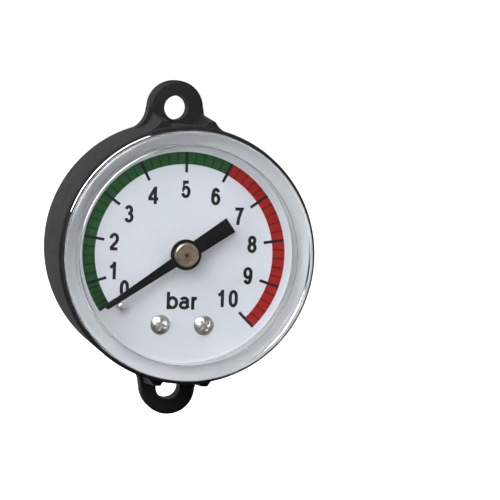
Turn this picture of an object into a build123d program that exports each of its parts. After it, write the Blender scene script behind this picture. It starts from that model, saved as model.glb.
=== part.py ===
"""Pressure gauge, 40 mm nominal size, with a centre-back push-in stem and two screw ears.

Units are millimetres. X is to the right, Z is up (towards the 5 of the scale), the dial
faces -Y and the stem points along +Y. The origin is the middle of the two ear holes, in
the plane on which the ears rest, on the common axis of case, pointer and stem.
"""
from build123d import *
from math import acos, atan2, cos, degrees, pi, radians, sin, sqrt, tan
import os

# ---- Driving dimensions ---------------------------------------------------------------

# Case
CASE_R = 20.55              # outer radius
CASE_REAR_Y = 3.2           # rear face
CASE_RIM_Y = -21.7          # front rim
CASE_BORE_R = 18.0          # inside radius behind the dial
CASE_SEAT_R = 19.95         # inside radius of the seat for dial and lens
REAR_EDGE_R = 1.8           # rounding of the rear edge
RIM_EDGE_R = 0.25
CAVITY_EDGE_R = 0.6         # inner rounding at the bottom of the case

# Screw ears and the axial pads in front of them
EAR_Z = 23.0                # distance of each ear hole from the axis
EAR_R = 4.5                 # radius of the round end
EAR_T = 4.3                 # thickness
EAR_HOLE_R = 2.0
EAR_FOOT_R = 4.0            # concave radius from ear to case
EAR_EDGE_R = 0.6
PAD_REAR_Z = 22.3           # top of the pad where it leaves the ear, from the axis
PAD_FRONT_Z = 21.2          # and at its front end: the top falls away with the draft
PAD_HALF_X = 4.05
PAD_FOOT_R = 3.0
PAD_CUT_R = 3.75            # clearance for the screw head, cut along the ear hole's axis
PAD_FRONT_Y = -18.7         # front end of the pad

# Rear pocket around the socket
POCKET_SIDE = 14.0
POCKET_FLOOR_Y = 1.2
POCKET_CORNER_R = 0.8
SCREW_X = 3.4               # case screws
SCREW_Z = -7.9
SCREW_RECESS_R = 2.75

# Socket: stem, block, flange and seat of the tube
STEM_R = 4.5
STEM_TIP_Y = 14.6
STEM_CHAMFER = 0.6
BLOCK_SIDE = 10.0
BLOCK_CLEARANCE = 0.1
BLOCK_REAR_Y = 2.2
FLANGE_HALF_X = 6.6
FLANGE_TOP_Z = 6.6
FLANGE_BOTTOM_Z = -10.8
FLANGE_T = 2.4
PASSAGE_R = 0.8             # pressure passage
CROSS_PASSAGE_R = 0.5       # from the passage out to the tube
BLOCK_CHAMFER = 0.25
FLANGE_CORNER_R = 1.0
RING_Y = 10.4               # centre of the O-ring
RING_SECTION_R = 1.1
RING_OUTER_R = 5.1
GROOVE_WIDTH = 2.7

# Bourdon tube, a C in a plane square to the axis
TUBE_R = 14.3               # radius of its middle line
TUBE_WIDTH = 5.0            # along Y
TUBE_DEPTH = 1.8            # radially
TUBE_WALL = 0.25
TUBE_MID_Y = -6.0
SEAT_ANGLE = -125.0         # direction of the seat, seen from the front, from +X towards +Z
SEAT_WIDTH = 4.4
SEAT_R = 16.3
ROOT_ANGLE = -122.0         # where the tube starts, in its seat
TIP_ANGLE = -12.0           # where the tube ends, after running clockwise over the top
CAP_LENGTH_ANGLE = 6.5
CAP_WALL = 0.2              # cap around the tube
TUBE_ROOM = 0.1             # solder gap inside the tube's ends

# Movement plates, square to the axis
REAR_PLATE_Y = -9.3         # rear face of the rear plate
PLATE_T = 0.8
FRONT_PLATE_Y = -13.3       # rear face of the front plate
PILLAR_PLACES = [(-6.5, -9.0), (8.0, 3.0), (-3.5, 6.5)]
PILLAR_R = 1.5
PLATE_MARGIN = 2.1          # plate material around each pillar
ARBOR_MARGIN = 1.8          # and around the sector's arbor and each dial post
PLATE_SCREW_PLACES = [(-3.7, 3.7), (-3.7, -3.7)]

# Gear train: pinion on the pointer axis, sector beside it
MODULE = 0.2
PINION_TEETH = 12
SECTOR_TEETH = 96           # of the full circle
SECTOR_TEETH_CUT = 12       # teeth that the sector really has
SECTOR_DIRECTION = -60.0    # from the pointer axis to the sector's arbor
PRESSURE_ANGLE = 20.0
TOOTH_THINNING = 0.05       # at the pitch circle, gives the backlash
SECTOR_Y = -11.8            # rear face of the sector
SECTOR_T = 0.8
PINION_Y = (-11.3, -13.0)
TAIL_LENGTH = 3.4           # sector arbor to link pin
TAIL_ANGLE = -20.0
PIVOT_R = 0.45              # pivots in the plates
PIVOT_CLEARANCE = 0.03
PIVOT_STANDOUT = 0.1        # pivots beyond the plates
END_SHAKE = 0.08            # between an arbor's shoulders and the plates
SHAFT_R = 0.6               # pointer shaft
ARBOR_R = 0.7               # sector arbor
SECTOR_HUB_R = 1.3
SECTOR_HUB_STEP = 0.5       # hub behind the web
SECTOR_EYE_R = 1.6          # web around the arbor
SECTOR_BLANK_R = 3.0        # where the toothed blank starts
SECTOR_NECK = (3.4, 2.9)    # length, width
WINDOW = (6.2, 3.2, 1.9)    # distance of the blank's slot from the arbor, its length and width
TAIL_WIDTH = 1.7
TAIL_EYE_R = 0.95

# Link between the sector's tail and the tube's tip
TIP_PIN = (11.0, -2.4)
LINK_OFFSET = (-0.053, 0.008)   # the link's far eye stands off the pin by this much at rest
LINK_Y = -11.1
LINK_T = 0.6
LINK_WIDTH = 0.9
LINK_EYE_R = 1.0
LINK_PIN_R = 0.45
LINK_PLAY = 0.06            # between the link and the heads of its pins
LINK_PIN_HEAD = (0.8, 0.3)  # radius, height
TIP_SCREW_HEAD = (0.85, 0.45)
TIP_SLOT = 0.22             # width and depth of its slot
ARM_EYE_R = 1.05            # arm of the tube's tip around the tip screw
ARM_NECK_R = 0.78           # and where it leaves the cap
NEAR_EYE_HOLE_R = 0.5
FAR_EYE_HOLE_R = 0.55

# Dial, pointer and lens
DIAL_R = 19.8
DIAL_Y = -17.2              # printed face
DIAL_T = 0.5
DIAL_HOLE_R = 1.6           # for the pointer shaft
DIAL_SCREW_X = 3.5
DIAL_SCREW_Z = -11.4
ZERO_ANGLE = 214.8          # direction of the pointer at zero
POINTER_Y = (-19.2, -19.6)
POINTER_LENGTH = 15.3
TAIL_REACH = 8.6
NEEDLE_HALF_WIDTHS = (0.85, 0.4)    # at the axis and at the tip
POINT_LENGTH = 0.3          # tapering end of the needle
POINT_HALF_WIDTH = 0.18
TAIL_HALF_WIDTHS = (1.1, 1.3)       # at the axis and at its end
POINTER_DISC_R = 2.45
HUB_R = 1.95
HUB_FRONT_Y = -20.5
HUB_BEVEL_R = 0.35
HUB_BOSS_R = 1.3
HUB_RIVET_R = 1.0
HUB_DIMPLE_R = 0.4
NOSE_R = 0.5                # end of the pointer shaft inside the hub
NOSE_Y = -20.0
STOP_R = 13.1
STOP_PIN_R = 0.65
STOP_CROWN_R = 0.4
STOP_GAP = 0.03             # between the resting pointer and the stop pin
STOP_FRONT_Y = -19.9
LENS_R = 19.87
LENS_EDGE_Y = -24.2
LENS_APEX_Y = -25.0
LENS_T = 1.7
LENS_ROUND_R = 0.7          # rounding of its outer edge
SKIRT_INNER_R = 17.5        # the lens's wall, which presses the dial on its seat
SNAP_Y = -20.2
SNAP_BEAD = 0.12
SNAP_HALF_WIDTH = 0.35

# Hairspring
SPRING_INNER_R = 1.2
SPRING_OUTER_R = 3.5
SPRING_TURNS = 4
SPRING_T = 0.1
SPRING_Y = (-10.5, -11.0)
SPRING_START_ANGLE = 40.0
STUD_R = 0.35

# Dial posts
POST_R = 1.3
POST_RIVET_R = 0.9
POST_HOLE_DEPTH = 2.2

# Fasteners: (head radius, head height, shank radius)
CASE_SCREW = (2.0, 1.7, 1.2)
PLATE_SCREW = (1.25, 0.6, 0.8)
PILLAR_SCREW = (1.3, 0.8, 0.7)
DIAL_SCREW = (1.6, 0.9, 0.8)
CASE_SCREW_REACH = 2.1      # how far each screw goes into the flange
PLATE_SCREW_REACH = 2.8     # into the socket's block, from the rear of the plate
PLATE_HOLE_DEPTH = 3.0
PILLAR_SCREW_REACH = 1.6    # into the pillars
PILLAR_HOLE_DEPTH = 1.8
DIAL_SCREW_REACH = 2.0      # into the posts
SCREW_ROOM = 0.1            # around a shank in a clearance hole


# ---- Helpers --------------------------------------------------------------------------

def slab(sketch, rear_y, front_y):
    """The sketch, drawn in (x, z), as a solid from rear_y forward to front_y."""
    return extrude(Plane.XZ.offset(-rear_y) * sketch, rear_y - front_y)


def rod(radius, rear_y, front_y, x=0.0, z=0.0):
    """A round rod along Y."""
    return slab(Pos(x, z) * Circle(radius), rear_y, front_y)


def near(vertices, x, y):
    """The vertex of a flat profile that is nearest to (x, y)."""
    return vertices.sort_by(lambda v: (v.X - x) ** 2 + (v.Y - y) ** 2)[0]


def turned(points, roundings=()):
    """A solid turned about the Y axis from (radius, y) points; roundings are (r, y, radius)."""
    face = make_face(Polyline(*points, close=True))
    for r, y, radius in roundings:
        face = fillet(near(face.vertices(), r, y), radius)
    return revolve(face, Axis.Y)


def polar(radius, angle):
    """The point (x, z) at a radius and an angle in degrees, from +X towards +Z."""
    return radius * cos(radians(angle)), radius * sin(radians(angle))


def mirrored(places):
    """Each (x, z) place and its mirror image across the middle."""
    return [(sign * x, z) for x, z in places for sign in (-1, 1)]


def group(solids):
    """Separate solids that share one node."""
    return Compound(children=list(solids))


def pan_head_screw(size, seat_y, tip_y, x, z, towards, drive="cross"):
    """A screw along Y with its head seated at seat_y, on the side that 'towards' gives."""
    head_r, head_h, shank_r = size
    top_y = seat_y + towards * head_h
    head = turned([(0, seat_y), (head_r, seat_y), (head_r, top_y), (0, top_y)],
                  [(head_r, top_y, 0.75 * head_h)])
    slot_w = 0.24 * head_r
    slot_y = top_y - towards * 0.5 * head_h
    if drive == "cross":
        blades = Rectangle(1.2 * head_r, slot_w) + Rectangle(slot_w, 1.2 * head_r)
    else:
        blades = Rectangle(2.1 * head_r, slot_w)
    head -= slab(blades, max(slot_y, top_y), min(slot_y, top_y))
    shank = rod(shank_r, max(seat_y, tip_y), min(seat_y, tip_y))
    return Pos(x, 0, z) * (head + shank)


def tooth_points(teeth, addendum, dedendum, centre_angle):
    """One involute tooth as points (x, z) about the gear's own axis, in order of angle."""
    pitch_r = MODULE * teeth / 2
    base_r = pitch_r * cos(radians(PRESSURE_ANGLE))
    tip_r = pitch_r + addendum
    root_r = pitch_r - dedendum
    half = pi / (2 * teeth) - TOOTH_THINNING / (2 * pitch_r)
    involute_at_pitch = tan(radians(PRESSURE_ANGLE)) - radians(PRESSURE_ANGLE)
    start_r = max(base_r, root_r)
    steps = 4
    flank = [(root_r, None)] if root_r < base_r else []
    for i in range(steps + 1):
        r = start_r + (tip_r - start_r) * i / steps
        roll = acos(min(1.0, base_r / r))
        flank.append((r, half + involute_at_pitch - (tan(roll) - roll)))
    if flank[0][1] is None:
        flank[0] = (root_r, flank[1][1])
    rising = [polar(r, centre_angle - degrees(a)) for r, a in flank]
    falling = [polar(r, centre_angle + degrees(a)) for r, a in reversed(flank)]
    return rising + falling


# ---- Derived places -------------------------------------------------------------------

CENTRE_DISTANCE = MODULE * (PINION_TEETH + SECTOR_TEETH) / 2
ARBOR = polar(CENTRE_DISTANCE, SECTOR_DIRECTION)
TAIL_X, TAIL_Z = polar(TAIL_LENGTH, TAIL_ANGLE)
LINK_PIN = (ARBOR[0] + TAIL_X, ARBOR[1] + TAIL_Z)
LINK_FAR = (TIP_PIN[0] + LINK_OFFSET[0], TIP_PIN[1] + LINK_OFFSET[1])
REAR_PLATE_FRONT_Y = REAR_PLATE_Y - PLATE_T
FRONT_PLATE_FRONT_Y = FRONT_PLATE_Y - PLATE_T
DIAL_BACK_Y = DIAL_Y + DIAL_T
SHAFT_FRONT_Y = DIAL_Y - 0.7
CASE_SCREW_PLACES = mirrored([(SCREW_X, SCREW_Z)])
DIAL_SCREW_PLACES = mirrored([(DIAL_SCREW_X, DIAL_SCREW_Z)])


# ---- Case, lens and dial --------------------------------------------------------------

def foot(top_z, half_x, foot_r):
    """Foot of an ear or pad: flat at top_z, with hollow flanks that run out on the case."""
    centre_x = half_x + foot_r
    centre_z = sqrt((CASE_R + foot_r) ** 2 - centre_x ** 2)
    base_half_x = centre_x * CASE_R / (CASE_R + foot_r)
    bottom_z = CASE_BORE_R / 2
    shape = Pos(0, (top_z + bottom_z) / 2) * Rectangle(2 * base_half_x, top_z - bottom_z)
    for sign in (-1, 1):
        shape -= Pos(sign * centre_x, centre_z) * Circle(foot_r)
    return shape


def top_ear():
    """The upper ear with its pad, before it is joined to the case."""
    outline = foot(EAR_Z, EAR_R, EAR_FOOT_R) + Pos(0, EAR_Z) * Circle(EAR_R)
    ear = slab(outline, 0, -EAR_T)
    round_ends = ear.edges().filter_by(GeomType.CIRCLE).filter_by(
        lambda e: e.center().Z > EAR_Z and abs(e.radius - EAR_R) < 0.01)
    ear = fillet(round_ends, EAR_EDGE_R)
    pad = slab(foot(PAD_REAR_Z, PAD_HALF_X, PAD_FOOT_R), -EAR_T / 2, PAD_FRONT_Y)
    above = Polygon((-EAR_T, PAD_REAR_Z), (PAD_FRONT_Y, PAD_FRONT_Z),
                    (PAD_FRONT_Y, PAD_REAR_Z + 1), (-EAR_T, PAD_REAR_Z + 1), align=None)
    pad -= extrude(Plane.YZ * above, CASE_R, both=True)
    pad -= rod(PAD_CUT_R, -EAR_T, PAD_FRONT_Y - 1, z=EAR_Z)
    return ear + pad - rod(EAR_HOLE_R, 1, -EAR_T - 1, z=EAR_Z)


def make_case():
    shell = turned([(0, CASE_REAR_Y), (CASE_R, CASE_REAR_Y), (CASE_R, CASE_RIM_Y),
                    (0, CASE_RIM_Y)],
                   [(CASE_R, CASE_REAR_Y, REAR_EDGE_R),
                    (CASE_R, CASE_RIM_Y, RIM_EDGE_R)])
    ear = top_ear()
    shell = shell + ear + Rot(0, 180, 0) * ear
    groove_r = CASE_SEAT_R + SNAP_BEAD
    cavity = turned([(0, 0), (CASE_BORE_R, 0), (CASE_BORE_R, DIAL_BACK_Y),
                     (CASE_SEAT_R, DIAL_BACK_Y), (CASE_SEAT_R, SNAP_Y + SNAP_HALF_WIDTH),
                     (groove_r, SNAP_Y), (CASE_SEAT_R, SNAP_Y - SNAP_HALF_WIDTH),
                     (CASE_SEAT_R, CASE_RIM_Y - 1), (0, CASE_RIM_Y - 1)],
                    [(CASE_BORE_R, 0, CAVITY_EDGE_R)])
    shell -= cavity
    shell -= slab(RectangleRounded(POCKET_SIDE, POCKET_SIDE, POCKET_CORNER_R),
                  CASE_REAR_Y + 1, POCKET_FLOOR_Y)
    opening = BLOCK_SIDE + 2 * BLOCK_CLEARANCE
    shell -= slab(Rectangle(opening, opening), POCKET_FLOOR_Y + 1, -1)
    for x, z in CASE_SCREW_PLACES:
        shell -= rod(SCREW_RECESS_R, CASE_REAR_Y + 1, POCKET_FLOOR_Y, x, z)
        shell -= rod(CASE_SCREW[2] + SCREW_ROOM, POCKET_FLOOR_Y + 1, -1, x, z)
    return shell


def make_lens():
    """Domed lens with a wall that clamps the dial and snaps into the case."""
    dome_rise = LENS_EDGE_Y - LENS_APEX_Y
    dome_r = (LENS_R ** 2 + dome_rise ** 2) / (2 * dome_rise)
    body = turned([(0, LENS_APEX_Y - 1), (LENS_R, LENS_APEX_Y - 1),
                   (LENS_R, SNAP_Y - SNAP_HALF_WIDTH), (LENS_R + SNAP_BEAD, SNAP_Y),
                   (LENS_R, SNAP_Y + SNAP_HALF_WIDTH),
                   (LENS_R, DIAL_Y), (SKIRT_INNER_R, DIAL_Y),
                   (SKIRT_INNER_R, LENS_EDGE_Y + LENS_T), (0, LENS_EDGE_Y + LENS_T)])
    centre = Pos(0, LENS_APEX_Y + dome_r, 0)
    body &= centre * Sphere(dome_r)
    inner_r = dome_r - LENS_T
    body -= (centre * Sphere(inner_r)) & rod(SKIRT_INNER_R, LENS_EDGE_Y + LENS_T + 1, LENS_APEX_Y)
    rim = body.edges().filter_by(GeomType.CIRCLE).sort_by(
        lambda e: abs(e.radius - LENS_R) + abs(e.center().Y - LENS_EDGE_Y))[0]
    return fillet(rim, LENS_ROUND_R)


def make_dial():
    face = Circle(DIAL_R) - Circle(DIAL_HOLE_R)
    for x, z in DIAL_SCREW_PLACES:
        face -= Pos(x, z) * Circle(DIAL_SCREW[2] + SCREW_ROOM)
    face -= Pos(*stop_place()) * Circle(STOP_PIN_R)
    return slab(face, DIAL_BACK_Y, DIAL_Y)


def stop_place():
    """Centre of the stop pin, just past the resting pointer on its anticlockwise side."""
    half_width = needle_half_width(STOP_R)
    offset = half_width + STOP_PIN_R + STOP_GAP
    return polar(STOP_R, ZERO_ANGLE + degrees(offset / STOP_R))


def make_stop_pin():
    shank = turned([(0, DIAL_BACK_Y), (STOP_PIN_R, DIAL_BACK_Y), (STOP_PIN_R, STOP_FRONT_Y),
                    (0, STOP_FRONT_Y)], [(STOP_PIN_R, STOP_FRONT_Y, STOP_CROWN_R)])
    x, z = stop_place()
    return Pos(x, 0, z) * shank


# ---- Pointer --------------------------------------------------------------------------

def needle_half_width(distance):
    """Half the needle's width at a distance from the axis."""
    wide, narrow = NEEDLE_HALF_WIDTHS
    return wide + (narrow - wide) * distance / POINTER_LENGTH


def make_pointer():
    tip, shoulder, end = POINTER_LENGTH, POINTER_LENGTH - POINT_LENGTH, -TAIL_REACH
    root_w, end_w = needle_half_width(0), needle_half_width(tip)
    needle = make_face(Polyline(
        (0, root_w), (shoulder, end_w), (tip, POINT_HALF_WIDTH), (tip, -POINT_HALF_WIDTH),
        (shoulder, -end_w), (0, -root_w), close=True))
    near_w, far_w = TAIL_HALF_WIDTHS
    tail = make_face(Polyline((0, near_w), (end, far_w), (end, -far_w), (0, -near_w),
                              close=True))
    shape = needle + tail + Circle(POINTER_DISC_R) - Circle(HUB_RIVET_R)
    return slab(Rot(0, 0, ZERO_ANGLE) * shape, POINTER_Y[0], POINTER_Y[1])


def make_pointer_hub():
    """Turned hub: a cap with a small dimple in front, riveted through the pointer."""
    cap = turned([(0, POINTER_Y[0]), (HUB_RIVET_R, POINTER_Y[0]), (HUB_RIVET_R, POINTER_Y[1]),
                  (HUB_R, POINTER_Y[1]), (HUB_R, HUB_FRONT_Y), (0, HUB_FRONT_Y)],
                 [(HUB_R, HUB_FRONT_Y, HUB_BEVEL_R)])
    boss = rod(HUB_BOSS_R, SHAFT_FRONT_Y, POINTER_Y[0])
    dimple = Pos(0, HUB_FRONT_Y - HUB_DIMPLE_R / 3, 0) * Sphere(HUB_DIMPLE_R)
    return cap + boss - dimple - rod(NOSE_R, DIAL_Y, NOSE_Y)


# ---- Socket, sealing ring and screws --------------------------------------------------

def tube_section(inset):
    """The tube's oval, in (radius, y), drawn inwards by inset."""
    oval = SlotOverall(TUBE_WIDTH - 2 * inset, TUBE_DEPTH - 2 * inset, rotation=90)
    return Pos(TUBE_R, TUBE_MID_Y) * oval


def swept_oval(inset, from_angle, to_angle):
    """The oval turned about the Y axis, clockwise seen from the front."""
    sweep = from_angle - to_angle
    body = revolve(tube_section(inset), Axis.Y, revolution_arc=sweep)
    return Rot(0, -from_angle, 0) * body


def make_tube():
    end = TIP_ANGLE - 360
    return swept_oval(0, ROOT_ANGLE, end) - swept_oval(TUBE_WALL, ROOT_ANGLE + 1, end - 1)


def make_socket():
    flange_front = -FLANGE_T
    stem = turned([(0, BLOCK_REAR_Y - 1), (STEM_R, BLOCK_REAR_Y - 1),
                   (STEM_R, STEM_TIP_Y - STEM_CHAMFER),
                   (STEM_R - STEM_CHAMFER, STEM_TIP_Y), (0, STEM_TIP_Y)])
    groove_r = RING_OUTER_R - 2 * RING_SECTION_R
    stem -= (rod(STEM_R + 1, RING_Y + GROOVE_WIDTH / 2, RING_Y - GROOVE_WIDTH / 2)
             - rod(groove_r, RING_Y + GROOVE_WIDTH, RING_Y - GROOVE_WIDTH))
    block = slab(Rectangle(BLOCK_SIDE, BLOCK_SIDE), BLOCK_REAR_Y, REAR_PLATE_Y)
    block = chamfer(block.edges().group_by(Axis.Y)[-1], BLOCK_CHAMFER)
    height = FLANGE_TOP_Z - FLANGE_BOTTOM_Z
    middle_z = (FLANGE_TOP_Z + FLANGE_BOTTOM_Z) / 2
    flange = slab(Pos(0, middle_z) * RectangleRounded(2 * FLANGE_HALF_X, height,
                                                      FLANGE_CORNER_R), 0, flange_front)
    arm = slab(Rot(0, 0, SEAT_ANGLE) * Pos(SEAT_R / 2, 0) * Rectangle(SEAT_R, SEAT_WIDTH),
               flange_front, REAR_PLATE_Y)
    socket = stem + block + flange + arm
    socket -= swept_oval(0, ROOT_ANGLE, ROOT_ANGLE - 40)
    socket -= swept_oval(TUBE_WALL + TUBE_ROOM, ROOT_ANGLE + 3.5, ROOT_ANGLE - 1)
    socket -= rod(PASSAGE_R, STEM_TIP_Y + 1, TUBE_MID_Y)
    cross = extrude(Plane.YZ * Pos(TUBE_MID_Y, 0) * Circle(CROSS_PASSAGE_R), TUBE_R)
    socket -= Rot(0, -(ROOT_ANGLE + 2), 0) * cross
    for x, z in CASE_SCREW_PLACES:
        socket -= rod(CASE_SCREW[2], 1, flange_front - 1, x, z)
    for x, z in PLATE_SCREW_PLACES:
        socket -= rod(PLATE_SCREW[2], REAR_PLATE_Y + PLATE_HOLE_DEPTH, REAR_PLATE_Y - 1,
                      x, z)
    return socket


def make_o_ring():
    section = Pos(RING_OUTER_R - RING_SECTION_R, RING_Y) * Circle(RING_SECTION_R)
    return revolve(section, Axis.Y)


def make_case_screws():
    return group(pan_head_screw(CASE_SCREW, POCKET_FLOOR_Y, -CASE_SCREW_REACH, x, z, 1)
                 for x, z in CASE_SCREW_PLACES)


# ---- Tip of the tube, link and sector -------------------------------------------------

def make_tube_tip():
    """End cap of the tube, with an arm that reaches forward and in to the link."""
    end = TIP_ANGLE - 360
    cap = swept_oval(-CAP_WALL, end, end - CAP_LENGTH_ANGLE)
    plug = swept_oval(TUBE_WALL + TUBE_ROOM / 2, end + 4, end - 1)
    near_x, near_z = polar(TUBE_R, TIP_ANGLE - CAP_LENGTH_ANGLE / 2)
    arm_shape = Pos(*TIP_PIN) * Circle(ARM_EYE_R) + Pos(near_x, near_z) * Circle(ARM_NECK_R)
    arm_shape = make_hull(arm_shape.edges())
    arm = slab(arm_shape, REAR_PLATE_Y - 0.3, LINK_Y + 0.1)
    neck = rod(ARM_NECK_R, TUBE_MID_Y, REAR_PLATE_Y - 0.4, near_x, near_z)
    arm -= rod(LINK_PIN_R, REAR_PLATE_Y, LINK_Y, *TIP_PIN)
    return cap + plug + neck + arm


def make_tip_screw():
    head_r, head_h = TIP_SCREW_HEAD
    head_y = LINK_Y - LINK_T - LINK_PLAY
    head = rod(head_r, head_y, head_y - head_h)
    head -= slab(Rectangle(3 * head_r, TIP_SLOT), head_y - head_h + TIP_SLOT, head_y - 1)
    screw = rod(LINK_PIN_R, REAR_PLATE_Y - 0.4, head_y) + head
    return Pos(TIP_PIN[0], 0, TIP_PIN[1]) * screw


def make_link():
    near_x, near_z = LINK_PIN
    far_x, far_z = LINK_FAR
    length = sqrt((far_x - near_x) ** 2 + (far_z - near_z) ** 2)
    angle = degrees(atan2(far_z - near_z, far_x - near_x))
    bar = Pos(length / 2, 0) * Rectangle(length, LINK_WIDTH)
    shape = bar + Circle(LINK_EYE_R) + Pos(length, 0) * Circle(LINK_EYE_R)
    shape -= Circle(NEAR_EYE_HOLE_R)
    shape -= Pos(length, 0) * Circle(FAR_EYE_HOLE_R)
    return slab(Pos(near_x, near_z) * Rot(0, 0, angle) * shape, LINK_Y, LINK_Y - LINK_T)


def make_sector():
    """Toothed sector with a web, a hub and the tail that the link pulls."""
    pitch_r = MODULE * SECTOR_TEETH / 2
    step = 360 / SECTOR_TEETH
    mesh_angle = SECTOR_DIRECTION + 180
    last = SECTOR_TEETH_CUT - 2
    addendum, dedendum = 0.8 * MODULE, 1.25 * MODULE
    rim = []
    for k in range(last, -2, -1):
        rim += tooth_points(SECTOR_TEETH, addendum, dedendum, mesh_angle - k * step)
    start = polar(SECTOR_BLANK_R, mesh_angle - last * step - 8)
    end = polar(SECTOR_BLANK_R, mesh_angle + step + 8)
    blank = make_face(Polyline(start, *rim, end, close=True))
    mid_angle = mesh_angle - (last - 1) * step / 2
    window = Rot(0, 0, mid_angle) * Pos(WINDOW[0], 0) * SlotOverall(*WINDOW[1:], rotation=90)
    tail = Rot(0, 0, TAIL_ANGLE) * (Pos(TAIL_LENGTH / 2, 0) * Rectangle(TAIL_LENGTH, TAIL_WIDTH)
                                    + Pos(TAIL_LENGTH, 0) * Circle(TAIL_EYE_R))
    neck = Rot(0, 0, mid_angle) * Pos(SECTOR_NECK[0] / 2, 0) * Rectangle(*SECTOR_NECK)
    shape = blank - window + neck + tail + Circle(SECTOR_EYE_R) - Circle(ARBOR_R)
    shape -= Pos(TAIL_X, TAIL_Z) * Circle(LINK_PIN_R)
    hub = Circle(SECTOR_HUB_R) - Circle(ARBOR_R)
    web = slab(shape, SECTOR_Y, SECTOR_Y - SECTOR_T)
    solid = web + slab(hub, SECTOR_Y + SECTOR_HUB_STEP, SECTOR_Y)
    return Pos(ARBOR[0], 0, ARBOR[1]) * solid


def make_sector_arbor():
    body = rod(ARBOR_R, REAR_PLATE_FRONT_Y - END_SHAKE, FRONT_PLATE_Y + END_SHAKE)
    pivots = rod(PIVOT_R, REAR_PLATE_Y - PIVOT_STANDOUT, FRONT_PLATE_FRONT_Y + PIVOT_STANDOUT)
    return Pos(ARBOR[0], 0, ARBOR[1]) * (body + pivots)


def make_link_pin():
    head_r, head_h = LINK_PIN_HEAD
    head_y = LINK_Y + LINK_PLAY
    pin = rod(LINK_PIN_R, head_y, SECTOR_Y - SECTOR_T) + rod(head_r, head_y + head_h, head_y)
    return Pos(LINK_PIN[0], 0, LINK_PIN[1]) * pin


# ---- Pinion, hairspring and plates ----------------------------------------------------

def make_pinion_shaft():
    """Pointer shaft with the pinion cut on it."""
    step = 360 / PINION_TEETH
    outline = []
    for k in range(PINION_TEETH):
        outline += tooth_points(PINION_TEETH, MODULE, 1.2 * MODULE,
                                SECTOR_DIRECTION + (k + 0.5) * step)
    pinion = slab(make_face(Polyline(*outline, close=True)), *PINION_Y)
    shoulder_y = REAR_PLATE_FRONT_Y - END_SHAKE
    shaft = rod(SHAFT_R, shoulder_y, SHAFT_FRONT_Y)
    rear_pivot = rod(PIVOT_R, REAR_PLATE_Y - PIVOT_STANDOUT, shoulder_y)
    nose = rod(NOSE_R, SHAFT_FRONT_Y, NOSE_Y)
    return pinion + shaft + rear_pivot + nose


def make_collet():
    return slab(Circle(SPRING_INNER_R) - Circle(SHAFT_R), SPRING_Y[0] + 0.1, SPRING_Y[1] - 0.1)


def make_hairspring():
    """Flat spiral from the collet out to the stud."""
    per_turn = 30
    count = SPRING_TURNS * per_turn
    inner, outer = [], []
    for i in range(count + 1):
        part = i / count
        r = SPRING_INNER_R + (SPRING_OUTER_R - SPRING_INNER_R) * part
        angle = SPRING_START_ANGLE + 360 * SPRING_TURNS * part
        inner.append(polar(r, angle))
        outer.append(polar(r + SPRING_T, angle))
    strip = make_face(Polyline(*inner, *reversed(outer), close=True))
    strip -= Circle(SPRING_INNER_R)
    return slab(strip - Pos(*stud_place()) * Circle(STUD_R), *SPRING_Y)


def stud_place():
    """Centre of the stud, at the outer end of the spiral."""
    bite = 0.02
    return polar(SPRING_OUTER_R + SPRING_T + STUD_R - bite, SPRING_START_ANGLE)


def make_stud():
    x, z = stud_place()
    return rod(STUD_R, REAR_PLATE_Y, SPRING_Y[1] - 0.1, x, z)


def plate_outline(extra_places):
    """Plate that covers the pillars and the extra (x, z, margin) places."""
    rounds = [Pos(x, z) * Circle(PLATE_MARGIN) for x, z in PILLAR_PLACES]
    rounds += [Pos(x, z) * Circle(margin) for x, z, margin in extra_places]
    edges = [edge for disc in rounds for edge in disc.edges()]
    return make_hull(edges)


def make_rear_plate():
    shape = plate_outline([(ARBOR[0], ARBOR[1], ARBOR_MARGIN)])
    shape -= Circle(PIVOT_R + PIVOT_CLEARANCE)
    shape -= Pos(*ARBOR) * Circle(PIVOT_R + PIVOT_CLEARANCE)
    shape -= Pos(*stud_place()) * Circle(STUD_R)
    for place in PILLAR_PLACES:
        shape -= Pos(*place) * Circle(PILLAR_R / 2)
    for place in PLATE_SCREW_PLACES:
        shape -= Pos(*place) * Circle(PLATE_SCREW[2] + SCREW_ROOM)
    return slab(shape, REAR_PLATE_Y, REAR_PLATE_FRONT_Y)


def make_front_plate():
    feet = [(x, z, ARBOR_MARGIN) for x, z in DIAL_SCREW_PLACES]
    shape = plate_outline(feet + [(ARBOR[0], ARBOR[1], ARBOR_MARGIN)])
    shape -= Circle(SHAFT_R + PIVOT_CLEARANCE)
    shape -= Pos(*ARBOR) * Circle(PIVOT_R + PIVOT_CLEARANCE)
    for place in PILLAR_PLACES:
        shape -= Pos(*place) * Circle(PILLAR_SCREW[2] + SCREW_ROOM)
    for place in DIAL_SCREW_PLACES:
        shape -= Pos(*place) * Circle(POST_RIVET_R)
    return slab(shape, FRONT_PLATE_Y, FRONT_PLATE_FRONT_Y)


def make_pillars():
    def pillar(x, z):
        body = rod(PILLAR_R, REAR_PLATE_FRONT_Y, FRONT_PLATE_Y, x, z)
        rivet = rod(PILLAR_R / 2, REAR_PLATE_Y, REAR_PLATE_FRONT_Y, x, z)
        return body + rivet - rod(PILLAR_SCREW[2], FRONT_PLATE_Y + PILLAR_HOLE_DEPTH,
                                  FRONT_PLATE_Y, x, z)
    return group(pillar(x, z) for x, z in PILLAR_PLACES)


def make_pillar_screws():
    return group(pan_head_screw(PILLAR_SCREW, FRONT_PLATE_FRONT_Y,
                                FRONT_PLATE_Y + PILLAR_SCREW_REACH, x, z, -1, "slot")
                 for x, z in PILLAR_PLACES)


def make_plate_screws():
    return group(pan_head_screw(PLATE_SCREW, REAR_PLATE_FRONT_Y,
                                REAR_PLATE_Y + PLATE_SCREW_REACH, x, z, -1, "slot")
                 for x, z in PLATE_SCREW_PLACES)


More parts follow.
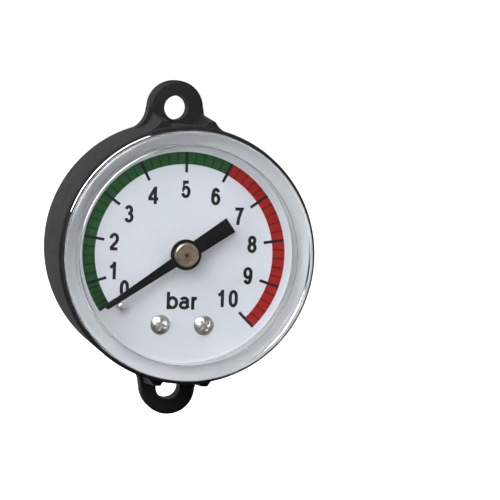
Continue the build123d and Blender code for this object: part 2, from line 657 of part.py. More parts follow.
def make_dial_posts():
    def post(x, z):
        body = rod(POST_R, FRONT_PLATE_FRONT_Y, DIAL_BACK_Y, x, z)
        rivet = rod(POST_RIVET_R, FRONT_PLATE_Y, FRONT_PLATE_FRONT_Y, x, z)
        return body + rivet - rod(DIAL_SCREW[2], DIAL_BACK_Y + POST_HOLE_DEPTH, DIAL_BACK_Y, x, z)
    return group(post(x, z) for x, z in DIAL_SCREW_PLACES)


def make_dial_screws():
    return group(pan_head_screw(DIAL_SCREW, DIAL_Y, DIAL_BACK_Y + DIAL_SCREW_REACH, x, z, -1)
                 for x, z in DIAL_SCREW_PLACES)


# ---- Output ---------------------------------------------------------------------------

PARTS = {
    "case": make_case,
    "lens": make_lens,
    "dial": make_dial,
    "dial_screws": make_dial_screws,
    "dial_posts": make_dial_posts,
    "stop_pin": make_stop_pin,
    "pointer": make_pointer,
    "pointer_hub": make_pointer_hub,
    "pinion_shaft": make_pinion_shaft,
    "hairspring_collet": make_collet,
    "hairspring": make_hairspring,
    "hairspring_stud": make_stud,
    "socket": make_socket,
    "o_ring": make_o_ring,
    "case_screws": make_case_screws,
    "bourdon_tube": make_tube,
    "tube_tip": make_tube_tip,
    "tip_screw": make_tip_screw,
    "link": make_link,
    "link_pin": make_link_pin,
    "sector_gear": make_sector,
    "sector_arbor": make_sector_arbor,
    "rear_plate": make_rear_plate,
    "front_plate": make_front_plate,
    "plate_pillars": make_pillars,
    "pillar_screws": make_pillar_screws,
    "plate_screws": make_plate_screws,
}

os.makedirs("parts", exist_ok=True)
for name, make in PARTS.items():
    export_step(make(), f"parts/{name}.step")
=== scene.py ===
"""Looks of the pressure gauge: finishes, printed dial, lens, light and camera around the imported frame."""
from collections import namedtuple
from math import copysign, cos, radians, sin, sqrt, tan

import bpy
from mathutils import Matrix, Vector


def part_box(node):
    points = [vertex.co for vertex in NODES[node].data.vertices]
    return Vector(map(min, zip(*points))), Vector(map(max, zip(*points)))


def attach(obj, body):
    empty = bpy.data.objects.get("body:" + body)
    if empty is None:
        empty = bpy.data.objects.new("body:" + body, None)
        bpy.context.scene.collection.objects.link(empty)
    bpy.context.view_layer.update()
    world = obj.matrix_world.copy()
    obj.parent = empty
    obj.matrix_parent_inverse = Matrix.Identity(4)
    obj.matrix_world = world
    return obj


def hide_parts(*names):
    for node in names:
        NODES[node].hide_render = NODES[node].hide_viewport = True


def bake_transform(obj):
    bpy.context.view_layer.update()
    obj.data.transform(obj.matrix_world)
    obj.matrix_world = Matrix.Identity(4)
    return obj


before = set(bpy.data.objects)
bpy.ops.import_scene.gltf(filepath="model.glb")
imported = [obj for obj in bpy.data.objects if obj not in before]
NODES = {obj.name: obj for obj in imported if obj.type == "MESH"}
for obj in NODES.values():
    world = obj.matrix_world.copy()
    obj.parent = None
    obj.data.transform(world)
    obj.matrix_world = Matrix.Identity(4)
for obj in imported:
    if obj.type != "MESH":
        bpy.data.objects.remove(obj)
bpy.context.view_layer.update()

MM = 0.001
HOUSING = "housing"

# ---- Printed dial, in millimetres on the dial, bar and degrees -------------------------
BAND_OUTER, BAND_INNER = 16.3, 14.32
MAJOR_INNER = 13.0
MAJOR_WIDTH, MINOR_WIDTH = 0.46, 0.30
DIGIT_HEIGHT, LOW_LETTER_HEIGHT = 2.82, 2.1
DIGIT_STROKE = 0.52
UNIT_BASE_LINE = -8.93
PRINT_STEP = 0.012          # one printed layer
INK_LAYERS = 2              # marks and characters lie over the bands
LINE_STEP = 0.15            # part of a layer by which a character's next line is thicker
SCALE_TOP_BAR, SCALE_END_BAR = 5, 10
RED_FROM_BAR = 6
MARKS_PER_BAR = 5
DEGREES_PER_BAR = 27.0
ZERO_ANGLE = 214.8

# ---- Painted light: whiter dial edge outside its scale; painted shade in the hub's dimple ---
# painted light: the dial's colour turns whiter outside the scale, where the lens wall shades it
MARGIN_LIGHT_INNER_R, MARGIN_LIGHT_OUTER_R = 16.8, 17.4
MARGIN_PAINTED_LIGHT = (0.80, 0.845, 0.90)
# painted shade: dark brown colour in the hub's dimple
DIMPLE_SHADE_INNER_R, DIMPLE_SHADE_OUTER_R = 0.12, 0.42
DIMPLE_PAINTED_SHADE = (0.07, 0.035, 0.018)

# ---- Lens, in millimetres: heights are measured from the top of its dome ---------------
LENS_RISE = 0.8             # of the dome
LENS_SNAP = 4.8             # down to the bead of the snap joint
LENS_BEAD, LENS_BEAD_HALF_WIDTH, LENS_BEAD_ROUND = 0.12, 0.35, 0.2
LENS_THICKNESS = 1.7
LENS_INNER_R = 17.5
LENS_EDGE, LENS_EDGE_ROUND = 0.8, 0.65    # where the dome gives way to its rounded edge
LENS_CORNER, LENS_CORNER_ROUND = 0.15, 0.1    # the same inside
LENS_FOOT_GAP, LENS_FOOT_ROUND = 0.03, 0.08

# ---- Tube: depth of its oval, and the angles of its ends, between which it curves ----
TUBE_DEPTH = 1.8
TUBE_ANGLES = (-122.0, -372.0)

# ---- Sealing ring: its parting line, and how far the rest stays inside the CAD's ring --
RING_SEAM = 0.03
RING_SHRINK = 0.005

# ---- Pan heads, as parts of the head's radius ------------------------------------------
PanHead = namedtuple("PanHead", "height shank recess_reach recess_half_width recess_depth")
DIAL_SCREW_HEAD = PanHead(0.5625, 0.5, 0.6, 0.16, 0.28)
CASE_SCREW_HEAD = PanHead(0.85, 0.6, 0.6, 0.16, 0.40)
HEAD_BEVEL = 0.05
# As parts of the head's height: the crown, the bevel at the seat, the part that has the recess
HEAD_CROWN, HEAD_LIP, HEAD_OPEN = 0.8, 0.1, 0.6
CROWN_POWER = 2.4           # how flat the crown is in its middle

# ---- Surround: brightness before and behind the dial, and as the camera sees it; floor --
WORLD_FRONT, WORLD_BEHIND, WORLD_SEEN = 0.08, 0.50, 1.05
WORLD_DIRECTION = (0, 0.9, 0.43)      # from the front to the brighter side
WORLD_GRADE = (-0.2, 0.5)             # where along that direction the brightness changes
FLOOR_Z, FLOOR_HALF_WIDTH = -0.09, 3.0    # metres

# ---- Softboxes: place and size in metres, power in watts -------------------------------
LIGHT_TARGET = Vector((0, -0.01, 0))
SOFTBOXES = {
    "softbox_key": ((-0.46, -0.54, 0.48), (0.8, 0.7), 24.0),
    "softbox_left": ((-0.55, 0.22, 0.12), (0.4, 0.5), 1.4),
    "softbox_right": ((0.50, -0.42, 0.05), (0.3, 0.5), 1.5),
}

# ---- Camera, in degrees and millimetres ------------------------------------------------
CAMERA_LEFT, CAMERA_ABOVE, CAMERA_ROLL = 8.4, 3.86, 1.86
CAMERA_DISTANCE = 500
CAMERA_LENS, CAMERA_SENSOR = 222.5, 36
CAMERA_AIM = Vector((0, -12, 0))
PICTURE_RIGHT, PICTURE_UP = 11.5, 0.56    # from the aim to the middle of the picture

DIAL_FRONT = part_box("dial")[0].y / MM
ON_AXIS = 1e-9              # radii below this are a point on the axis
BAND_STEP, ARC_STEP = 1.5, 12         # degrees between points
MITRE_LIMIT = 0.5           # least cosine by which a bend in a line widens it
SHARP_ANGLE = 32            # degrees
WAVE_FACTOR = 20            # by which the wave texture multiplies its coordinates
WELD_DISTANCE = 1e-6        # metres


# ---- Meshes ----------------------------------------------------------------------------

def add_mesh(name, vertices, faces, body=HOUSING, smooth_angle=None):
    """A mesh piece from vertices in millimetres, riding on a body unless that is None."""
    mesh = bpy.data.meshes.new(name)
    mesh.from_pydata([Vector(v) * MM for v in vertices], [], faces)
    mesh.validate()
    mesh.update()
    if smooth_angle is not None:
        mesh.shade_smooth()
        mesh.set_sharp_from_angle(angle=radians(smooth_angle))
    piece = bpy.data.objects.new(name, mesh)
    bpy.context.scene.collection.objects.link(piece)
    if body:
        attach(piece, body)
    return piece


def polar(radius, angle):
    """(x, z) at a radius and an angle in degrees, from +X towards +Z."""
    return radius * cos(radians(angle)), radius * sin(radians(angle))


def bar_angle(bar):
    """Where a pressure sits on the scale; the first bar is narrower than the others."""
    angle = 90 - DEGREES_PER_BAR * (bar - SCALE_TOP_BAR)
    if bar < 1:
        first = 90 + DEGREES_PER_BAR * (SCALE_TOP_BAR - 1)
        angle = first + (ZERO_ANGLE - first) * (1 - bar)
    return angle


def turned(profile, segments, centre=(0, 0), dent=None, base=0):
    """Vertices and faces turned about Y from (radius, y) points.

    dent(x, z, y) gives a point its new y, and base is the number of the first vertex.
    """
    vertices, rings = [], []
    for r, y in profile:
        count = 1 if r < ON_AXIS else segments
        rings.append(list(range(base + len(vertices), base + len(vertices) + count)))
        for i in range(count):
            x, z = polar(r, 360 * i / segments)
            vertices.append((centre[0] + x, dent(x, z, y) if dent else y, centre[1] + z))
    faces = []
    closed = profile[0][0] > ON_AXIS
    pairs = list(zip(rings, rings[1:])) + ([(rings[-1], rings[0])] if closed else [])
    for a, b in pairs:
        for i in range(segments):
            j = (i + 1) % segments
            if len(a) == 1:
                faces.append((a[0], b[i], b[j]))
            elif len(b) == 1:
                faces.append((a[i], b[0], a[j]))
            else:
                faces.append((a[i], b[i], b[j], a[j]))
    return vertices, faces


def lathe(name, profile, segments, smooth_angle):
    """A closed body turned about the gauge's axis."""
    return add_mesh(name, *turned(profile, segments), HOUSING, smooth_angle)


def rounded(points, segments):
    """A profile of (r, y) or (r, y, corner radius) points, with the corners as arcs."""
    out = []
    count = len(points)
    for i, p in enumerate(points):
        if len(p) < 3:
            out.append(p)
            continue
        corner = Vector(p[:2])
        before = (Vector(points[i - 1][:2]) - corner).normalized()
        after = (Vector(points[(i + 1) % count][:2]) - corner).normalized()
        half = before.angle(after) / 2
        reach = p[2] / tan(half)
        centre = corner + (before + after).normalized() * (p[2] / sin(half))
        start = corner + before * reach - centre
        end = corner + after * reach - centre
        turn = start.angle_signed(end)
        for k in range(segments + 1):
            spun = start.copy()
            spun.rotate(Matrix.Rotation(-turn * k / segments, 2))
            out.append(tuple(centre + spun))
    return out


def flat_shape(name, outlines, front, thickness):
    """Flat printed shapes: each outline is a loop of (x, z), as a thin closed plate."""
    vertices, faces = [], []
    for loop in outlines:
        base, n = len(vertices), len(loop)
        vertices += [(x, front, z) for x, z in loop]
        vertices += [(x, front + thickness, z) for x, z in loop]
        faces.append(tuple(base + i for i in range(n)))
        faces.append(tuple(base + n + i for i in reversed(range(n))))
        for i in range(n):
            j = (i + 1) % n
            faces.append((base + j, base + i, base + n + i, base + n + j))
    return add_mesh(name, vertices, faces)


def strip_faces(steps):
    """Faces of a closed strip with four vertices at each station: front and back of both edges."""
    faces = []
    for i in range(steps):
        a, b = 4 * i, 4 * (i + 1)
        faces += [(a, a + 2, b + 2, b), (a + 3, a + 1, b + 1, b + 3),
                  (a + 1, a, b, b + 1), (a + 2, a + 3, b + 3, b + 2)]
    last = 4 * steps
    return faces + [(0, 1, 3, 2), (last + 1, last, last + 2, last + 3)]


# ---- Materials -------------------------------------------------------------------------

class NodeTree:
    """Short ways to add and to link nodes."""

    def __init__(self, tree):
        self.tree = tree

    def add(self, kind, **values):
        node = self.tree.nodes.new(kind)
        for key, value in values.items():
            setattr(node, key, value)
        return node

    def link(self, source, target):
        self.tree.links.new(source, target)


class Finish(NodeTree):
    """A material around one Principled shader, with the few nodes that the finishes share."""

    def __init__(self, name):
        self.material = bpy.data.materials.new(name)
        self.material.use_nodes = True
        super().__init__(self.material.node_tree)
        self.shader = self.tree.nodes["Principled BSDF"]
        self.coordinates = self.add("ShaderNodeTexCoord")

    def set(self, **values):
        for key, value in values.items():
            self.shader.inputs[key.replace("_", " ")].default_value = value

    def noise(self, scale, detail, roughness=0.55):
        """Noise in object space; scale is in cells per metre."""
        node = self.add("ShaderNodeTexNoise")
        node.inputs["Scale"].default_value = scale
        node.inputs["Detail"].default_value = detail
        node.inputs["Roughness"].default_value = roughness
        self.link(self.coordinates.outputs["Object"], node.inputs["Vector"])
        return node.outputs["Fac"]

    def ramp(self, value, stops):
        """Colour ramp between two stops, which are (position, grey or rgb)."""
        node = self.add("ShaderNodeValToRGB")
        for element, (position, colour) in zip(node.color_ramp.elements, stops):
            element.position = position
            rgb = (colour,) * 3 if isinstance(colour, (int, float)) else colour
            element.color = (*rgb, 1)
        self.link(value, node.inputs["Fac"])
        return node.outputs["Color"]

    def colour(self, value, dark, light, low=0.35, high=0.65):
        self.link(self.ramp(value, [(low, dark), (high, light)]), self.shader.inputs["Base Color"])

    def roughness(self, value, smooth, rough, low=0.3, high=0.7):
        self.link(self.ramp(value, [(low, smooth), (high, rough)]), self.shader.inputs["Roughness"])

    def bump(self, value, strength, height_mm):
        """Adds a bump on top of any bump already there."""
        node = self.add("ShaderNodeBump")
        node.inputs["Strength"].default_value = strength
        node.inputs["Distance"].default_value = height_mm * MM
        self.link(value, node.inputs["Height"])
        target = self.shader.inputs["Normal"]
        if target.is_linked:
            self.link(target.links[0].from_socket, node.inputs["Normal"])
        self.link(node.outputs["Normal"], target)

    def mix_by_radius(self, inner_mm, outer_mm, rgb, inside):
        """Changes the base colour to rgb inside, or outside, a soft circle about the Y axis."""
        across = self.add("ShaderNodeVectorMath", operation="MULTIPLY")
        across.inputs[1].default_value = (1, 0, 1)
        self.link(self.coordinates.outputs["Object"], across.inputs[0])
        radius = self.add("ShaderNodeVectorMath", operation="LENGTH")
        self.link(across.outputs["Vector"], radius.inputs[0])
        edge = self.add("ShaderNodeMapRange")
        edge.inputs["From Min"].default_value = inner_mm * MM
        edge.inputs["From Max"].default_value = outer_mm * MM
        self.link(radius.outputs["Value"], edge.inputs["Value"])
        base = self.shader.inputs["Base Color"]
        mix = self.add("ShaderNodeMix", data_type="RGBA")
        near, far = [socket for socket in mix.inputs if socket.type == "RGBA"]
        self.link(edge.outputs["Result"], mix.inputs[0])
        self.link(base.links[0].from_socket, far if inside else near)
        (near if inside else far).default_value = (*rgb, 1)
        self.link(next(out for out in mix.outputs if out.type == "RGBA"), base)

    def rings(self, size_mm):
        """Rings about the Y axis, as a lathe leaves them; they lie 2 pi times the size apart."""
        node = self.add("ShaderNodeTexWave", wave_type="RINGS", rings_direction="Y",
                        wave_profile="SAW")
        node.inputs["Scale"].default_value = 1 / (size_mm * MM * WAVE_FACTOR)
        node.inputs["Distortion"].default_value = 0.6
        node.inputs["Detail"].default_value = 2.0
        self.link(self.coordinates.outputs["Object"], node.inputs["Vector"])
        return node.outputs["Fac"]


def moulded_black():
    """Satin black ABS with a fine eroded texture."""
    f = Finish("moulded_black_plastic")
    f.colour(f.noise(260, 3), (0.004, 0.004, 0.0044), (0.007, 0.007, 0.0075))
    f.roughness(f.noise(900, 5), 0.50, 0.64)
    f.bump(f.noise(5200, 2), 0.22, 0.03)
    f.bump(f.noise(180, 2), 0.10, 0.05)
    f.set(Specular_IOR_Level=0.12)
    return f.material


def clear_plastic():
    """Polished clear plastic with a few duller places."""
    f = Finish("clear_lens_plastic")
    f.set(Base_Color=(1, 1, 1, 1), Transmission_Weight=1.0, IOR=1.49)
    f.roughness(f.noise(420, 6, 0.7), 0.0, 0.06, 0.42, 0.8)
    return f.material


def dial_lacquer():
    """White stove enamel on sheet, slightly cool, with painted light outside the scale: whiter under the
    lens wall.
    """
    f = Finish("dial_white_lacquer")
    f.colour(f.noise(160, 3), (0.695, 0.735, 0.80), (0.74, 0.78, 0.84))
    # painted light: whiter base colour outside the scale, where the lens wall shades the dial
    f.mix_by_radius(MARGIN_LIGHT_INNER_R, MARGIN_LIGHT_OUTER_R, MARGIN_PAINTED_LIGHT, inside=False)
    f.roughness(f.noise(1400, 3), 0.42, 0.52)
    f.bump(f.noise(2600, 3), 0.05, 0.01)
    f.set(Coat_Weight=0.15, Coat_Roughness=0.3)
    return f.material


def ink(name, dark, light):
    """Screen-printed ink: small changes in density and a dry surface."""
    f = Finish(name)
    f.colour(f.noise(900, 5, 0.65), dark, light, 0.3, 0.7)
    f.roughness(f.noise(1800, 3), 0.44, 0.58)
    f.bump(f.noise(4200, 3), 0.08, 0.008)
    f.set(Specular_IOR_Level=0.2)
    return f.material


def metal_finish(name, dark, light, smooth, rough, ring_size=None, grain=1500):
    """Bare or plated metal with tarnish in the colour and fine tool marks."""
    f = Finish(name)
    f.set(Metallic=1.0)
    f.colour(f.noise(grain / 3, 5, 0.6), dark, light, 0.3, 0.7)
    f.roughness(f.noise(grain, 4), smooth, rough)
    f.bump(f.noise(grain * 2, 3), 0.08, 0.01)
    if ring_size:
        f.bump(f.rings(ring_size), 0.16, 0.012)
    return f


def metal(*values):
    return metal_finish(*values).material


def hub_metal():
    """Turned hub, tarnished, with painted brown shade in the dimple at its middle."""
    f = metal_finish("hub_nickel", (0.28, 0.215, 0.15), (0.60, 0.50, 0.385), 0.30, 0.44, 0.14, 2600)
    # painted shade: the dimple at the hub's middle is coloured dark brown
    f.mix_by_radius(DIMPLE_SHADE_INNER_R, DIMPLE_SHADE_OUTER_R, DIMPLE_PAINTED_SHADE, inside=True)
    return f.material


def rubber():
    """Moulded nitrile rubber."""
    f = Finish("ring_rubber")
    f.colour(f.noise(500, 4), (0.010, 0.010, 0.010), (0.022, 0.021, 0.020))
    f.roughness(f.noise(1300, 4), 0.42, 0.6)
    f.bump(f.noise(3800, 3), 0.15, 0.02)
    return f.material


def pointer_black():
    """Matt black lacquer on sheet."""
    f = Finish("pointer_black_lacquer")
    f.colour(f.noise(700, 4), (0.003, 0.003, 0.004), (0.006, 0.006, 0.007))
    f.roughness(f.noise(1500, 3), 0.4, 0.55)
    f.bump(f.noise(3500, 3), 0.10, 0.01)
    f.set(Specular_IOR_Level=0.15)
    return f.material


MATERIALS = {
    "black": moulded_black(),
    "lens": clear_plastic(),
    "dial": dial_lacquer(),
    "green": ink("green_ink", (0.010, 0.070, 0.016), (0.020, 0.105, 0.028)),
    "red": ink("red_ink", (0.34, 0.006, 0.005), (0.44, 0.014, 0.010)),
    "green_dark": ink("green_mark_ink", (0.005, 0.034, 0.008), (0.010, 0.052, 0.014)),
    "red_dark": ink("red_mark_ink", (0.11, 0.003, 0.003), (0.16, 0.006, 0.005)),
    "ink": ink("black_ink", (0.006, 0.007, 0.010), (0.014, 0.015, 0.020)),
    "pointer": pointer_black(),
    "hub": hub_metal(),
    "bright": metal("bright_nickel", (0.60, 0.59, 0.57), (0.72, 0.71, 0.69), 0.30, 0.42),
    "zinc": metal("zinc_plate", (0.64, 0.65, 0.66), (0.78, 0.79, 0.80), 0.18, 0.32),
    "steel": metal("turned_steel", (0.46, 0.46, 0.47), (0.60, 0.60, 0.60), 0.22, 0.36, 0.1),
    "stem": metal("stem_brass", (0.36, 0.19, 0.095), (0.54, 0.31, 0.16), 0.28, 0.42, 0.15),
    "brass": metal("machined_brass", (0.60, 0.40, 0.20), (0.78, 0.57, 0.32), 0.24, 0.38, 0.15),
    "bronze": metal("drawn_bronze", (0.52, 0.30, 0.15), (0.68, 0.43, 0.24), 0.24, 0.36),
    "rubber": rubber(),
}

NODE_FINISH = {
    "case": "black", "lens": "lens", "dial": "dial", "dial_screws": "bright",
    "dial_posts": "brass", "stop_pin": "bright", "pointer": "pointer", "pointer_hub": "hub",
    "pinion_shaft": "steel", "hairspring_collet": "brass", "hairspring": "bronze",
    "hairspring_stud": "brass", "socket": "stem", "o_ring": "rubber", "case_screws": "zinc",
    "bourdon_tube": "bronze", "tube_tip": "brass", "tip_screw": "steel", "link": "bright",
    "link_pin": "steel", "sector_gear": "brass", "sector_arbor": "steel", "rear_plate": "brass",
    "front_plate": "brass", "plate_pillars": "brass", "pillar_screws": "steel",
    "plate_screws": "steel",
}


def paint(piece, finish):
    piece.data.materials.clear()
    piece.data.materials.append(MATERIALS[finish])


def finish_nodes():
    """Gives every CAD node its material, and smooth shading between its facets."""
    for name, finish in NODE_FINISH.items():
        node = NODES[name]
        paint(node, finish)
        node.data.shade_smooth()
        weld = node.modifiers.new("weld", "WELD")
        weld.merge_threshold = WELD_DISTANCE
        split = node.modifiers.new("sharp", "EDGE_SPLIT")
        split.split_angle = radians(SHARP_ANGLE)


# ---- Printed dial ----------------------------------------------------------------------

def ring_sector(name, inner, outer, from_angle, to_angle, finish):
    """A printed ring sector as one closed plate."""
    count = round(abs(to_angle - from_angle) / BAND_STEP)
    vertices = []
    for i in range(count + 1):
        for r in (inner, outer):
            x, z = polar(r, from_angle + (to_angle - from_angle) * i / count)
            vertices += [(x, DIAL_FRONT - PRINT_STEP, z), (x, DIAL_FRONT, z)]
    piece = add_mesh(name, vertices, strip_faces(count))
    paint(piece, finish)


def mark(angle, inner, outer, width):
    """One straight radial stroke."""
    along = Vector((cos(radians(angle)), sin(radians(angle))))
    side = Vector((-along.y, along.x)) * width / 2
    return [tuple(along * inner - side), tuple(along * outer - side),
            tuple(along * outer + side), tuple(along * inner + side)]


def print_marks():
    """A long black mark at each bar, and short ones in the colour of their band between."""
    major, minor_green, minor_red = [], [], []
    for step in range(SCALE_END_BAR * MARKS_PER_BAR + 1):
        bar = step / MARKS_PER_BAR
        angle = bar_angle(bar)
        if step % MARKS_PER_BAR == 0:
            major.append(mark(angle, MAJOR_INNER, BAND_OUTER, MAJOR_WIDTH))
        else:
            minor = minor_green if bar < RED_FROM_BAR else minor_red
            minor.append(mark(angle, BAND_INNER, BAND_OUTER, MINOR_WIDTH))
    height = INK_LAYERS * PRINT_STEP
    for name, marks, finish in (("major_marks", major, "ink"),
                                ("minor_marks_green", minor_green, "green_dark"),
                                ("minor_marks_red", minor_red, "red_dark")):
        piece = flat_shape(name, marks, DIAL_FRONT - height, height)
        paint(piece, finish)


def arc(cx, cz, rx, rz, start, end):
    """Points on an ellipse, angles in degrees."""
    count = round(abs(end - start) / ARC_STEP)
    angles = [radians(start + (end - start) * i / count) for i in range(count + 1)]
    return [(cx + rx * cos(a), cz + rz * sin(a)) for a in angles]


# Middle lines of the characters, in a box one wide and one high
SIX = [[(0.93, 0.80)] + arc(0.52, 0.72, 0.42, 0.28, 35, 150) + [(0.03, 0.62), (0.0, 0.42)]
       + arc(0.5, 0.31, 0.5, 0.31, 180, 540)]
STROKES = {
    "0": [arc(0.5, 0.62, 0.5, 0.38, 0, 180) + arc(0.5, 0.38, 0.5, 0.38, 180, 360) + [(1.0, 0.62)]],
    "1": [[(-0.1, 0.72), (0.35, 0.77), (0.75, 0.87), (1.0, 1.0)], [(1.0, -0.11), (1.0, 1.11)]],
    "2": [arc(0.5, 0.71, 0.5, 0.29, 175, -25) + [(0.72, 0.42), (0.12, 0.12), (0.0, 0.0)],
          [(-0.12, 0.0), (1.05, 0.0)]],
    "3": [arc(0.47, 0.765, 0.43, 0.235, 165, -90) + [(0.36, 0.53)],
          [(0.36, 0.53)] + arc(0.5, 0.265, 0.5, 0.265, 90, -165)],
    "4": [[(0.72, 1.0), (0.0, 0.29)], [(-0.14, 0.25), (1.14, 0.25)], [(0.76, -0.11), (0.76, 1.11)]],
    "5": [[(0.92, 1.0), (0.2, 1.0), (0.06, 0.47)] + arc(0.48, 0.325, 0.52, 0.325, 140, -163)],
    "6": SIX,
    "7": [[(-0.16, 1.0), (1.0, 1.0), (0.72, 0.70), (0.48, 0.36), (0.33, -0.11)]],
    "8": [arc(0.5, 0.765, 0.44, 0.235, -90, 270), arc(0.5, 0.265, 0.5, 0.265, 90, 450)],
    "9": [[(1 - x, 1 - z) for x, z in SIX[0]]],
    "b": [[(0.0, -0.11), (0.0, 1.11)], arc(0.5, 0.35, 0.5, 0.35, 180, 540)],
    "a": [arc(0.45, 0.72, 0.4, 0.28, 160, 0) + [(0.85, 0.16), (1.0, 0.0)],
          [(0.85, 0.58)] + arc(0.4, 0.29, 0.4, 0.29, 100, 270) + arc(0.5, 0.35, 0.35, 0.35, -90, 0)],
    "r": [[(0.0, -0.16), (0.0, 1.16)], [(0.0, 0.55)] + arc(0.7, 0.55, 0.7, 0.45, 160, 80)],
}


def stroke(points, width, height):
    """Vertices and faces of a line along points, as a closed plate that stands off the dial."""
    vertices = []
    points = [Vector(p) for p in points]
    count = len(points)
    for i, p in enumerate(points):
        before = (p - points[i - 1]).normalized() if i else None
        after = (points[i + 1] - p).normalized() if i + 1 < count else None
        along = ((before or after) + (after or before)).normalized()
        side = Vector((-along.y, along.x)) * width / 2
        side /= max(MITRE_LIMIT, along.dot(after or before))
        for x, z in (p - side, p + side):
            vertices += [(x, DIAL_FRONT - height, z), (x, DIAL_FRONT, z)]
    return vertices, strip_faces(count - 1)


def print_text(name, characters):
    """Characters as (text, left, base line, width, height), stroked into one piece."""
    vertices, faces = [], []
    for text, left, base, width, height in characters:
        for order, line in enumerate(STROKES[text]):
            inner_w, inner_h = width - DIGIT_STROKE, height - DIGIT_STROKE
            places = [(left + DIGIT_STROKE / 2 + u * inner_w, base + DIGIT_STROKE / 2 + v * inner_h)
                      for u, v in line]
            points, loops = stroke(places, DIGIT_STROKE, PRINT_STEP * (INK_LAYERS + LINE_STEP * order))
            start = len(vertices)
            vertices += points
            faces += [tuple(start + i for i in loop) for loop in loops]
    piece = add_mesh(name, vertices, faces)
    paint(piece, "ink")


# Each numeral: its characters as (text, width, offset along x), distance from the axis, angle
NUMERALS = [
    ([("0", 1.48, 0)], 11.05, 211.5),
    ([("1", 1.15, -0.2)], 11.60, 194.5),
    ([("2", 1.54, 0)], 11.40, 171.4),
    ([("3", 1.50, 0)], 10.95, 145.6),
    ([("4", 1.78, 0)], 10.60, 119.5),
    ([("5", 1.50, 0)], 10.30, 90.0),
    ([("6", 1.50, 0)], 10.45, 62.4),
    ([("7", 1.46, 0)], 10.66, 35.5),
    ([("8", 1.50, 0)], 11.10, 9.0),
    ([("9", 1.52, 0)], 10.95, -17.6),
    ([("1", 1.15, -1.2), ("0", 1.50, 0.88)], 10.15, -43.9),
]

# Letters of the unit: text, left, width, height
UNIT = [("b", -2.56, 1.86, DIGIT_HEIGHT), ("a", -0.58, 1.84, LOW_LETTER_HEIGHT),
        ("r", 1.4, 1.32, LOW_LETTER_HEIGHT)]


def print_numerals():
    characters = []
    for texts, radius, angle in NUMERALS:
        x, z = polar(radius, angle)
        for text, width, offset in texts:
            characters.append((text, x + offset - width / 2, z - DIGIT_HEIGHT / 2, width,
                               DIGIT_HEIGHT))
    print_text("scale_numerals", characters)


def print_unit():
    print_text("unit_text", [(text, left, UNIT_BASE_LINE, width, height)
                             for text, left, width, height in UNIT])


def make_dial_print():
    red_angle = bar_angle(RED_FROM_BAR)
    ring_sector("green_band", BAND_INNER, BAND_OUTER, ZERO_ANGLE, red_angle, "green")
    ring_sector("red_band", BAND_INNER, BAND_OUTER, red_angle, bar_angle(SCALE_END_BAR), "red")
    print_marks()
    print_numerals()
    print_unit()


# ---- Lens ------------------------------------------------------------------------------

def make_lens():
    """The lens again, turned finely: dome, rounded edge, and the wall that stands on the dial."""
    low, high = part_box("lens")
    radius = (high.x - low.x) / 2 / MM - LENS_BEAD
    apex, foot = low.y / MM, high.y / MM - LENS_FOOT_GAP
    edge, snap = apex + LENS_RISE, apex + LENS_SNAP
    ceiling = edge + LENS_THICKNESS
    dome_r = (radius ** 2 + LENS_RISE ** 2) / (2 * LENS_RISE)
    inner_r = dome_r - LENS_THICKNESS
    steps = 24
    outside = [(0, apex)]
    for k in range(1, steps + 1):
        r = (radius - LENS_EDGE) * k / steps
        outside.append((r, apex + dome_r - sqrt(dome_r ** 2 - r ** 2)))
    # The first and the last point only give their neighbours a direction, and are dropped.
    wall = rounded([
        outside[-1], (radius, edge, LENS_EDGE_ROUND), (radius, snap - LENS_BEAD_HALF_WIDTH),
        (radius + LENS_BEAD, snap, LENS_BEAD_ROUND), (radius, snap + LENS_BEAD_HALF_WIDTH),
        (radius, foot, LENS_FOOT_ROUND), (LENS_INNER_R, foot, LENS_FOOT_ROUND),
        (LENS_INNER_R, ceiling, LENS_CORNER_ROUND), (0, ceiling)], 8)[1:-1]
    inside = []
    for k in range(steps, -1, -1):
        r = (LENS_INNER_R - LENS_CORNER) * k / steps
        inside.append((r, apex + dome_r - sqrt(inner_r ** 2 - r ** 2)))
    lens = lathe("domed_lens", outside + wall + inside, 256, 40)
    paint(lens, "lens")
    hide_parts("lens")


# ---- Tube, sealing ring and screws -----------------------------------------------------

def make_tube():
    """The tube as one smooth piece, curved from its soldered root to its free end."""
    low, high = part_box("bourdon_tube")
    outer_r, half_width = high.x / MM, (high.y - low.y) / 2 / MM
    half_depth = TUBE_DEPTH / 2
    middle_r, middle_y = outer_r - half_depth, (low.y + high.y) / 2 / MM
    flat = half_width - half_depth
    # Two round sides; the flats run between them at 0 and at 180 degrees.
    section = [(half_depth * cos(radians(a)), copysign(flat, sin(radians(a)))
                + half_depth * sin(radians(a))) for a in range(15, 360, 15) if a != 180]
    start, end = TUBE_ANGLES
    steps = 120
    vertices = []
    for i in range(steps + 1):
        angle = start + (end - start) * i / steps
        for outward, along in section:
            x, z = polar(middle_r + outward, angle)
            vertices.append((x, middle_y + along, z))
    n = len(section)
    faces = [(n * i + k, n * i + (k + 1) % n, n * (i + 1) + (k + 1) % n, n * (i + 1) + k)
             for i in range(steps) for k in range(n)]
    faces += [tuple(reversed(range(n))), tuple(n * steps + k for k in range(n))]
    tube = add_mesh("curved_tube", vertices, faces, None, 40)
    paint(tube, "bronze")
    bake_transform(tube)
    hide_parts("bourdon_tube")


def make_ring():
    """The sealing ring, moulded round, with the fine parting line of its mould."""
    low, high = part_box("o_ring")
    section_r, middle_y = (high.y - low.y) / 2 / MM, (low.y + high.y) / 2 / MM
    middle_r = high.x / MM - section_r
    profile = []
    for a in range(0, 360, 10):
        r = section_r + (RING_SEAM if a == 0 else -RING_SHRINK)
        profile.append((middle_r + r * cos(radians(a)), middle_y + r * sin(radians(a))))
    ring = lathe("sealing_ring", profile, 160, 60)
    paint(ring, "rubber")
    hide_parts("o_ring")


